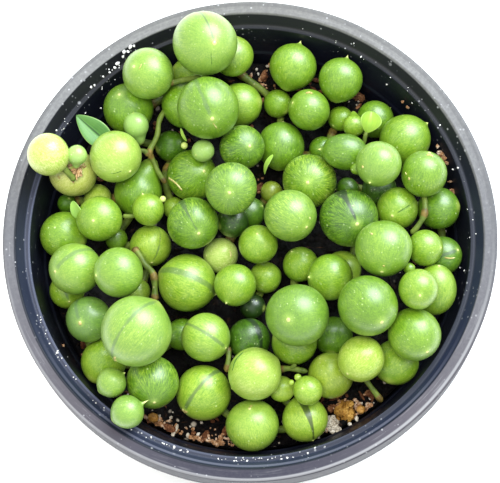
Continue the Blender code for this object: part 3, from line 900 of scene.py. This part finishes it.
def stem_tube(points, radius, brown_at=(), steps=6):
    """A round stem along a smooth route: a circle square to the route at every step, a
    little wider where a leaf joins, and closed at both ends."""
    route = through(points, steps)
    forward = np.gradient(route, axis=0)
    forward /= np.linalg.norm(forward, axis=1, keepdims=True)
    spare = np.eye(3)[np.abs(forward).sum(axis=0).argmin()]
    side = np.cross(forward, spare)
    side /= np.linalg.norm(side, axis=1, keepdims=True)
    over = np.cross(side, forward)
    gone = np.concatenate([[0], np.linalg.norm(np.diff(route, axis=0), axis=1).cumsum()])
    share = gone / gone[-1]
    joint = sum((np.exp(-((share - spot) * gone[-1] / JOINT_LENGTH) ** 2) for spot in brown_at),
                np.zeros(len(share)))
    width = radius * (1 + JOINT_SWELL * joint) * (1 + 0.05 * np.sin(gone * 2.3))
    width[[0, -1]] *= 0.55
    turn = np.arange(STEM_AROUND) / STEM_AROUND * math.tau
    rings = route[:, None] + width[:, None, None] * (
        side[:, None] * np.cos(turn)[None, :, None] + over[:, None] * np.sin(turn)[None, :, None])
    shape = closed_skin(route[0] - forward[0] * radius * 0.3, rings,
                        route[-1] + forward[-1] * radius * 0.3)
    marks = np.stack([np.clip(joint, 0, 1)[:, None] + 0 * turn, gone[:, None] + 0 * turn,
                      turn + 0 * share[:, None]], axis=-1).reshape(-1, 3)
    shape["marks"] = {"stem_look": np.concatenate([marks[:1], marks, marks[-1:]])}
    return shape


STRANDS = {     # x, y, diameter and look of each pearl; a bare x, y is a point on the way
    "stem_north_west": [
        (-9.5, 28, 6, leaf(0.56)), (-19, 21.5, 8, leaf(0.4, (-0.3, 0.5))),
        (-17.5, 18, 4, leaf(0.54, (-0.2, 0.9), neck=0.7, mint=0.6)), (-12.5, 16.5, 5, leaf(0.22)),
        (-13.5, 11.5), (-12, 6.5, 3.5, leaf(0.6))],
    "stem_north": [
        (20, 20.5, 6, leaf(0.4, (0.8, 0.6))), (14.5, 21, 4, leaf(0.48, (-0.6, -0.6))),
        (11.5, 16, 4, leaf(0.35)), (5, 16, 7.5, leaf(0.4, (0.1, 1.0))),
        (4.5, 23.5, 4.5, leaf(0.48)), (-2.5, 30, 6.5, leaf(0.57))],
    "stem_west": [
        (-17.5, -7, 4, leaf(0.65)),
        (-15.5, 0, 6.5, leaf(0.64, (0.1, -0.8), (0.4, -0.25), 0.03, dark=0.5)),
        (-21, 1.5, 3.5, leaf(0.43)), (-17.5, 8.5, 7.5, leaf(0.42, (-0.5, -1.1), neck=0.6)),
        (-24, 8, 4.5, leaf(0.74, (0.2, 0.95))), (-29, 7.5, 3, leaf(0.24, (0.3, 0.5))),
        (-29, 1.5, 7.5, leaf(0.5))],
    "stem_south_west": [
        (-28.5, -7, 5.5, leaf(0.55, (0.2, -0.6), (-0.1, 0.2), 0.05)), (-26, -13),
        (-22.5, -18.5, 7, leaf(0.55)), (-16.5, -17.5), (-10.5, -14, 5, leaf(0.4))],
    "stem_centre": [
        (3.5, 9, 3.5, leaf(0.38, warm=0.3)), (0, 5.5, 5, leaf(0.27, (0.8, 0.4))), (-2.5, 2.5),
        (-4.5, -1.5, 5.5, leaf(0.84, (-0.8, 0.0), mint=0.2)), (-1, -5.5),
        (2.5, -5, 5, leaf(0.57, (-0.9, -0.3), point=0.1, corky=0)), (0.5, -9.5, 4, leaf(-0.15)),
        (0, -15, 6.5, leaf(0.2, (0.4, -0.8), (0.5, 0.3), 0.16, dark=1.0, narrowing=0.5))],
    "stem_east": [
        (13, -14.5, 6, leaf(0.3)), (7.5, -8.5, 4.5, leaf(0.44)),
        (8, -3, 5.5, leaf(0.52, (-0.5, 0.7), point=0.1, corky=0)), (14.5, -4, 6, leaf(0.6)),
        (17, 3), (15.5, 9.5, 3.5, leaf(0.2, (-1.0, -0.1), point=0.2)), (20.5, 9, 5.5, leaf(0.12)),
        (29.5, 5, 6.5, leaf(0.35)),
        (30, -2.5, 6, leaf(0.32, (0.7, 0.3), (-0.2, 0.0), 0.08, dark=0.6))],
    "stem_south": [
        (-7, -23.5, 8.5, leaf(0.6, (-0.65, -0.6), (-0.04, 0.38), 0.065, dark=0.55, corky=0.8)),
        (0.5, -28.5, 8, leaf(0.6, (-0.1, 0.7), mint=0.1)),
        (8.5, -27.5, 7, leaf(0.64, (0.35, -0.9), (0.14, 0.26), 0.15, dark=1.0,
                                narrowing=0.75)),
        (5, -23, 4, leaf(0.68)), (12.5, -21, 7, leaf(0.55, warm=0.2)), (22.5, -19, 7, leaf(0.53))],
}

seed = 60
for node, stops in STRANDS.items():
    points = np.array([vertex.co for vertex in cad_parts[node].data.vertices]) / MM
    route = [(stop[0], stop[1], STEM_LEVEL) for stop in stops]
    stems = [stem_tube(route, STEM_RADIUS, np.linspace(0.04, 0.96, len(stops)), steps=12)]
    leaves = []
    for x, y, diameter, look in [stop for stop in stops if len(stop) > 2]:
        # A pearl is as high as the node's highest point close to its spot.
        above = np.hypot(points[:, 0] - x, points[:, 1] - y) < diameter * 0.4
        centre = (x, y, points[above, 2].max() - diameter * 0.49)
        pearl_places[x, y] = (np.array(centre), diameter)
        leaves.append(pearl(centre, diameter, look, seed))
        stems.append(stem_tube([(x, y, STEM_LEVEL), (x, y, (STEM_LEVEL + centre[2]) / 2),
                                centre], STALK_RADIUS))
        seed += 1
    side = node.removeprefix("stem_")
    add_piece(f"{side}_stem", gathered(stems), stem_skin, [node])
    add_piece(f"{side}_pearls", gathered(leaves), pearl_skin, [node])


# ---- Scars and painted crease shade ----
# Old cracks, scratches and scabs in the skin of the leaves as thin corky lines, and dark green
# lines laid along creases as painted crease shade, all standing barely proud of the skin.
# Each runs over spots given as how far right and up they show.

scar_cream = crumb_material("scar_cream", [(120, 104, 56), (176, 164, 96), (206, 202, 150)],
                            0.7, 900.0, 0.05 * MM)
crease_shade_matter = crumb_material("crease_shade_matter", [(44, 80, 20), (62, 100, 30), (82, 122, 40)],
                           0.6, 900.0, 0.05 * MM)
PALE_SCARS = [      # the pearl, the spots, half the width
    (9, [(-0.90, -0.10), (-0.72, -0.22), (-0.52, -0.40), (-0.36, -0.60)], 0.2),
    (5, [(-0.18, 0.76), (0.0, 0.80), (0.14, 0.74)], 0.20),
    (20, [(-0.55, -0.15), (-0.45, -0.3)], 0.22),
    (22, [(-0.36, -0.1), (-0.24, -0.2)], 0.26), (36, [(0.05, 0.78), (0.2, 0.8), (0.34, 0.72)], 0.2),
    (36, [(-0.72, -0.18), (-0.70, -0.3)], 0.16), (36, [(-0.86, 0.05), (-0.82, -0.05)], 0.12),
    (38, [(-0.50, 0.55), (-0.44, 0.5)], 0.14), (38, [(-0.08, -0.58), (-0.02, -0.62)], 0.14),
    (39, [(-0.75, -0.1), (-0.72, -0.2)], 0.18), (39, [(0.78, 0.12), (0.8, -0.02)], 0.12),
    (42, [(0.72, -0.06), (0.74, -0.16)], 0.12), (25, [(0.76, -0.36), (0.84, -0.44)], 0.16),
    (50, [(-0.55, -0.70), (-0.6, -0.76), (-0.52, -0.82)], 0.2),
    (37, [(0.36, -0.46), (0.42, -0.52)], 0.1),
    ((-7, -23.5), [(-0.72, -0.52), (-0.66, -0.64), (-0.56, -0.62)], 0.28),
    ((0.5, -28.5), [(-0.1, 0.78), (0.0, 0.8)], 0.14),
    ((-4.5, -1.5), [(0.5, 0.3), (0.6, 0.1), (0.58, -0.1)], 0.12),
    ((30, -2.5), [(0.0, -0.08), (0.3, -0.12), (0.55, -0.08)], 0.12),
    (46, [(-0.3, 0.1), (-0.2, 0.3)], 0.08), (45, [(0.15, -0.5), (0.3, -0.7)], 0.1),
]
# Dark green lines along creases: painted shade where the skin folds.
CREASE_SHADE_ROUTES = [
    (47, [(-0.55, -0.55), (-0.30, -0.66), (0.0, -0.68), (0.28, -0.60)], 0.07),
    (12, [(-0.25, -0.32), (0.1, -0.1), (0.5, 0.15)], 0.07),
    (31, [(-0.45, 0.84), (-0.72, 0.55), (-0.84, 0.17)], 0.08),
    ((0, -15), [(0.82, 0.5), (0.5, 0.0), (-0.05, -0.5)], 0.07),
    (44, [(0.22, -0.72), (0.2, -0.45), (0.24, -0.15)], 0.06),
]
for name, scars, matter in (("pale_scars", PALE_SCARS, scar_cream),
                            ("painted_crease_lines", CREASE_SHADE_ROUTES, crease_shade_matter)):
    lines_on_leaves = []
    for which, spots, half_width in scars:
        centre, diameter = pearl_places[which]
        raised = [centre + facing(*spot) * (diameter / 2 - half_width * 0.3) for spot in spots]
        lines_on_leaves.append(stem_tube(raised, half_width, steps=5))
    add_piece(name, gathered(lines_on_leaves), matter)


# ---- Bare runners and leaf stalks ----
# Lengths of stem that climb between the pearls on top, with brown joints, and the stalks
# that carry single pearls. Heights are above the rim.


def above_rim(points):
    """Places given by their height above the rim."""
    return np.array(points, float) + (0, 0, RIM_HEIGHT)


RUNNERS = {     # points on the way, radius, where its joints are
    "runner_north_west": ([(-13.2, 24.3, 1.2), (-11.7, 24.1, 1.8), (-9.6, 24.6, 1.8),
                           (-7.4, 25.2, 1.0)], 0.42, (0.2,)),
    "runner_west_upper": ([(-12.2, 22.6, -3.0), (-13.9, 19.5, -2.2), (-14.3, 16.7, -2.0),
                           (-15.4, 14.3, -2.0), (-15.5, 13.4, -2.4)], 0.42, (0.95,)),
    "runner_west_middle": ([(-15.5, 13.8, -2.2), (-15.0, 13.0, -3.0), (-14.2, 11.3, -3.6),
                            (-13.1, 9.6, -4.2)], 0.36, (0.05, 0.95)),
    "runner_east": ([(27.0, 6.1, 0.6), (27.1, 4.3, 1.0), (26.9, 2.6, 1.0), (25.9, 1.0, 0.6),
                     (25.0, 0.1, 0.0)], 0.42, (0.45,)),
    "runner_west_lower": ([(-17.8, -1.2, -3.0), (-16.8, -2.5, -2.6), (-16.0, -3.9, -2.6),
                           (-14.9, -5.0, -3.0), (-14.5, -6.6, -3.4), (-14.5, -9.4, -4.0)],
                          0.46, (0.03, 0.6, 0.95)),
    "runner_south": ([(4.4, -20.2, -4.0), (6.3, -20.1, -3.6), (8.9, -20.6, -3.6)], 0.42, (0.1,)),
    "runner_south_branch": ([(6.3, -20.2, -3.6), (7.2, -19.6, -3.0)], 0.34, ()),
    "runner_south_east": ([(17.2, -21.0, -5.0), (18.0, -21.8, -5.4), (18.9, -23.0, -5.6),
                           (20.3, -24.8, -6.4)], 0.42, (0.9,)),
    "runner_middle": ([(-3.3, -16.5, -5.0), (-3.1, -18.2, -4.2), (-3.4, -20.4, -4.4)], 0.4,
                      (0.1, 0.9)),
    "stalk_of_pearl_47": ([(-15.6, 13.5, -2.0), (-16.2, 14.0, -1.4), (-17.2, 13.9, -0.8)],
                          0.34, (0.0,)),
    "stalk_of_pearl_16": ([(-19.4, 3.6, -1.6), (-18.2, 3.5, -1.4), (-17.0, 3.8, -1.4)], 0.36, ()),
    "stalk_of_pearl_48": ([(-28.6, 10.6, 2.8), (-27.6, 9.6, 1.8), (-26.8, 8.8, 0.8)], 0.5, ()),
    "stalk_of_cup_leaf": ([(18.4, 16.7, -1.0), (18.2, 16.0, -1.2), (18.0, 15.0, -1.8)], 0.32, ()),
    "stalk_of_pearl_34": ([(23.9, -12.4, 2.4), (23.6, -13.6, 3.2)], 0.4, ()),
}
for name, (points, radius, joints) in RUNNERS.items():
    add_piece(name, stem_tube(above_rim(points), radius, joints), stem_skin)


# ---- Young leaves and buds ----
# New growth: a flat pointed leaf, a small cupped one, thin first leaves and pale buds no
# bigger than a pinhead, all soft and brighter than the grown pearls.

LEAF_RINGS = 26
LEAF_AROUND = 28
ARCH = 0.12                 # how high a cupped leaf's back rises, against its length

young_skin, shader, place = new_material("young_skin")
sideways, lengthways, freshness = marked(shader, "blade_look")
off_middle = calc("ABSOLUTE", sideways)
veins = noise(combined(times(sideways, 9.0), times(lengthways, 1.2)), 1.0, 2.0, 0.6)
clouds = noise(place, 700.0, 3.0, 0.6)
colour = toned(swayed(swayed(freshness, veins, 0.5), clouds, 0.3),
               [(0.0, (66, 108, 60)), (0.5, (104, 150, 72)), (1.0, (156, 188, 66))])
fold_line = times(rise(off_middle, 0.12, 0.03),
                  times(rise(lengthways, 0.1, 0.4), rise(freshness, 0.5, 0.3)))
colour = blended(times(fold_line, 0.7), colour, tint(24, 48, 26))
colour = blended(times(rise(off_middle, 0.86, 1.0), 0.35), colour, tint(176, 198, 128))
dressed(shader, colour, scaled(clouds, 0.16, 0.34), veins, 0.03 * MM, 0.6)


def blade(base, tip, up, width, thick, fold, cup, broadest, freshness):
    """A leaf: from base to tip its half width follows a sine drawn towards the broadest
    place; each cross-section is a flat oval whose sides rise with their distance from the
    middle, straight for a fold and by the square for a cup."""
    forward = tip - base
    length = np.linalg.norm(forward)
    forward = forward / length
    side = np.cross(forward, up)
    side /= np.linalg.norm(side)
    over = np.cross(side, forward)
    run = np.linspace(0, 1, LEAF_RINGS + 2)[1:-1]
    half = width / 2 * np.sin(math.pi * run ** (math.log(0.5) / math.log(broadest))) ** (
        0.5 if cup else 0.75)
    turn = np.arange(LEAF_AROUND) / LEAF_AROUND * math.tau
    sideways = np.cos(turn)[None] + 0 * run[:, None]
    swell = np.sin(math.pi * run)[:, None]
    height = thick / 2 * swell ** 0.5 * np.sin(turn) + half[:, None] * (
        fold * np.abs(sideways) + cup * sideways ** 2) + (ARCH * length * swell if cup else 0)
    rings = (base + forward * (run * length)[:, None, None]
             + side * (half[:, None] * sideways)[..., None] + over * height[..., None])
    shape = closed_skin(base, rings, tip)
    marks = np.stack([sideways, run[:, None] + 0 * sideways, freshness + 0 * sideways],
                     axis=-1).reshape(-1, 3)
    shape["marks"] = {"blade_look": np.concatenate([marks[:1], marks, marks[-1:]])}
    return shape


YOUNG_LEAVES = {    # base, tip, way up, width, thickness, fold, cup, broadest place, freshness
    "boat_leaf": ((-21.3, 14.8, -1.4), (-26.8, 19.4, 0.4), (-0.2, -0.1, 1),
                  3.9, 0.9, 0.6, 0.0, 0.42, 0.2),
    "cup_leaf": ((18.4, 16.5, -1.0), (19.2, 19.7, 0.2), (0.1, -0.4, 1),
                 3.3, 0.5, 0.5, 0.5, 0.62, 0.85),
    "sprout_leaf_north": ((2.5, 10.3, -2.4), (3.9, 12.9, -0.2), (-0.6, 0.1, 1),
                          0.9, 0.35, 0.0, 0.3, 0.6, 0.8),
    "sprout_leaf_north_west": ((-9.6, 15.5, -1.4), (-10.5, 17.4, -0.4), (-0.5, -0.2, 1),
                               0.55, 0.3, 0.0, 0.3, 0.5, 0.8),
    "peeking_leaf_west": ((-25.4, 3.0, -0.6), (-27.0, 5.4, 1.0), (-0.5, -0.3, 1),
                          1.9, 0.5, 0.0, 0.4, 0.45, 0.7),
}
for name, (base, tip, *values) in YOUNG_LEAVES.items():
    add_piece(name, blade(above_rim(base), above_rim(tip), *values), young_skin)

BUDS = [        # x, y, height above the rim, diameter, look
    (-26.2, 12.1, 3.2, 3.1, leaf(0.66, (0.1, 0.9), neck=0.5, mint=0.7)),
    (16.8, 10.3, 1.0, 2.1, leaf(0.5, (-0.6, 0.6))), (24.5, -5.8, 1.6, 1.8, leaf(0.5)),
    (-10.0, 14.9, -1.6, 1.1, leaf(0.85)), (-13.2, 6.0, -0.6, 1.0, leaf(0.9)),
    (7.5, -22.0, -0.6, 1.1, leaf(0.7)), (6.5, -22.8, -0.6, 0.9, leaf(0.7)),
]
add_piece("buds", gathered([pearl(above_rim((x, y, z)), size, look, 120 + n)
                            for n, (x, y, z, size, look) in enumerate(BUDS)]),
          pearl_skin)

husk_matter = crumb_material("husk_matter", [(116, 78, 48), (184, 148, 102), (222, 208, 170)],
                             0.8, 900.0, 0.1 * MM)
deal = np.random.default_rng(41)
husk_places = above_rim((-26.8, 10.2, 0.9)) + deal.normal(0, 1, (26, 3)) * (0.75, 0.8, 0.35)
husk_sizes = drawn_sizes(deal, 26, (0.6, 1.8), (0.2, 0.7), (0.2, 0.5))
add_piece("dried_bract", scattered_bits(husk_places, husk_sizes, 0.2, 0.3, 12), husk_matter)
